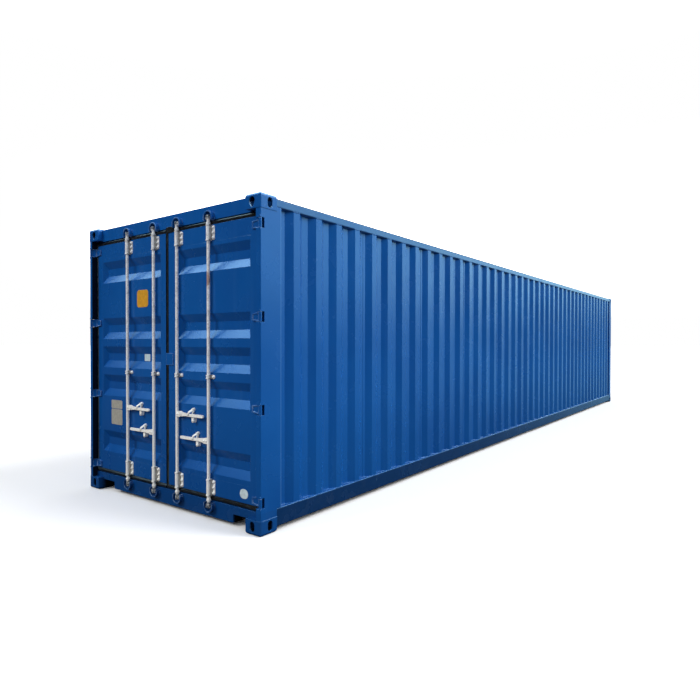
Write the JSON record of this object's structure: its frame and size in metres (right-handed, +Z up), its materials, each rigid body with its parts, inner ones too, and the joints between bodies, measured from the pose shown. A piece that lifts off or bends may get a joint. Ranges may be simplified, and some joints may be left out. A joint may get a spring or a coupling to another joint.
{
  "type": "shipping container",
  "caption": "Long steel freight container with corrugated walls, corner fittings, a ribbed roof and hinged end doors locked by turning bars with lift handles.",
  "frame": {"origin": "on the ground in the middle of the footprint", "axes": "+X along the length towards the blank end, with the doors at -X; +Y to the left seen facing the doors; +Z up"},
  "size_m": [12.192, 2.438, 2.591],
  "materials": {
    "blue_paint": "semi-gloss marine paint",
    "galvanised_steel": "dull galvanised",
    "seal_rubber": "satin",
    "floor_timber": "worn plywood"
  },
  "bodies": {
    "container": {"rear_bottom_fittings": "blue_paint", "rear_top_fittings": "blue_paint", "front_bottom_fittings": "blue_paint", "front_top_fittings": "blue_paint", "right_rear_post": "blue_paint", "left_rear_post": "blue_paint", "right_front_post": "blue_paint", "left_front_post": "blue_paint", "door_header": "blue_paint", "door_sill": "blue_paint", "front_top_rail": "blue_paint", "front_bottom_rail": "blue_paint", "right_top_rail": "blue_paint", "left_top_rail": "blue_paint", "right_bottom_rail": "blue_paint", "left_bottom_rail": "blue_paint", "right_side_wall": "blue_paint", "left_side_wall": "blue_paint", "front_wall": "blue_paint", "roof_panel": "blue_paint", "floor_deck": "floor_timber", "cross_members": "blue_paint", "gooseneck_tunnel": "blue_paint", "cam_keepers": "blue_paint"},
    "right_door": {"right_door_frame": "blue_paint", "right_door_panel": "blue_paint", "right_door_seal": "seal_rubber", "right_door_hinges": "blue_paint", "right_bar_guides": "galvanised_steel", "right_handle_catches": "galvanised_steel", "overlap_plate": "blue_paint"},
    "left_door": {"left_door_frame": "blue_paint", "left_door_panel": "blue_paint", "left_door_seal": "seal_rubber", "left_door_hinges": "blue_paint", "left_bar_guides": "galvanised_steel", "left_handle_catches": "galvanised_steel"},
    "right_inner_bar": {"right_inner_bar": "galvanised_steel"},
    "right_inner_handle": {"right_inner_handle": "galvanised_steel"},
    "right_outer_bar": {"right_outer_bar": "galvanised_steel"},
    "right_outer_handle": {"right_outer_handle": "galvanised_steel"},
    "left_inner_bar": {"left_inner_bar": "galvanised_steel"},
    "left_inner_handle": {"left_inner_handle": "galvanised_steel"},
    "left_outer_bar": {"left_outer_bar": "galvanised_steel"},
    "left_outer_handle": {"left_outer_handle": "galvanised_steel"}
  },
  "joints": [
    {"name": "right_door_hinge", "type": "hinge", "parent": "container", "child": "right_door", "pos_m": [-6.081, -1.204, 0.252], "axis": [0, 0, 1], "range_deg": [0, 265]},
    {"name": "left_door_hinge", "type": "hinge", "parent": "container", "child": "left_door", "pos_m": [-6.081, 1.204, 0.252], "axis": [0, 0, -1], "range_deg": [0, 265]},
    {"name": "right_inner_bar_turn", "type": "hinge", "parent": "right_door", "child": "right_inner_bar", "pos_m": [-6.065, -0.17, 0.124], "axis": [0, 0, 1], "range_deg": [-90, 0]},
    {"name": "right_inner_handle_lift", "type": "hinge", "parent": "right_inner_bar", "child": "right_inner_handle", "pos_m": [-6.065, -0.216, 0.85], "axis": [1, 0, 0], "range_deg": [-20, 0]},
    {"name": "right_outer_bar_turn", "type": "hinge", "parent": "right_door", "child": "right_outer_bar", "pos_m": [-6.065, -0.588, 0.124], "axis": [0, 0, -1], "range_deg": [-90, 0]},
    {"name": "right_outer_handle_lift", "type": "hinge", "parent": "right_outer_bar", "child": "right_outer_handle", "pos_m": [-6.065, -0.542, 0.655], "axis": [-1, 0, 0], "range_deg": [-20, 0]},
    {"name": "left_inner_bar_turn", "type": "hinge", "parent": "left_door", "child": "left_inner_bar", "pos_m": [-6.065, 0.17, 0.124], "axis": [0, 0, -1], "range_deg": [-90, 0]},
    {"name": "left_inner_handle_lift", "type": "hinge", "parent": "left_inner_bar", "child": "left_inner_handle", "pos_m": [-6.065, 0.216, 0.655], "axis": [-1, 0, 0], "range_deg": [-20, 0]},
    {"name": "left_outer_bar_turn", "type": "hinge", "parent": "left_door", "child": "left_outer_bar", "pos_m": [-6.065, 0.588, 0.124], "axis": [0, 0, 1], "range_deg": [-90, 0]},
    {"name": "left_outer_handle_lift", "type": "hinge", "parent": "left_outer_bar", "child": "left_outer_handle", "pos_m": [-6.065, 0.542, 0.85], "axis": [1, 0, 0], "range_deg": [-20, 0]}
  ]
}
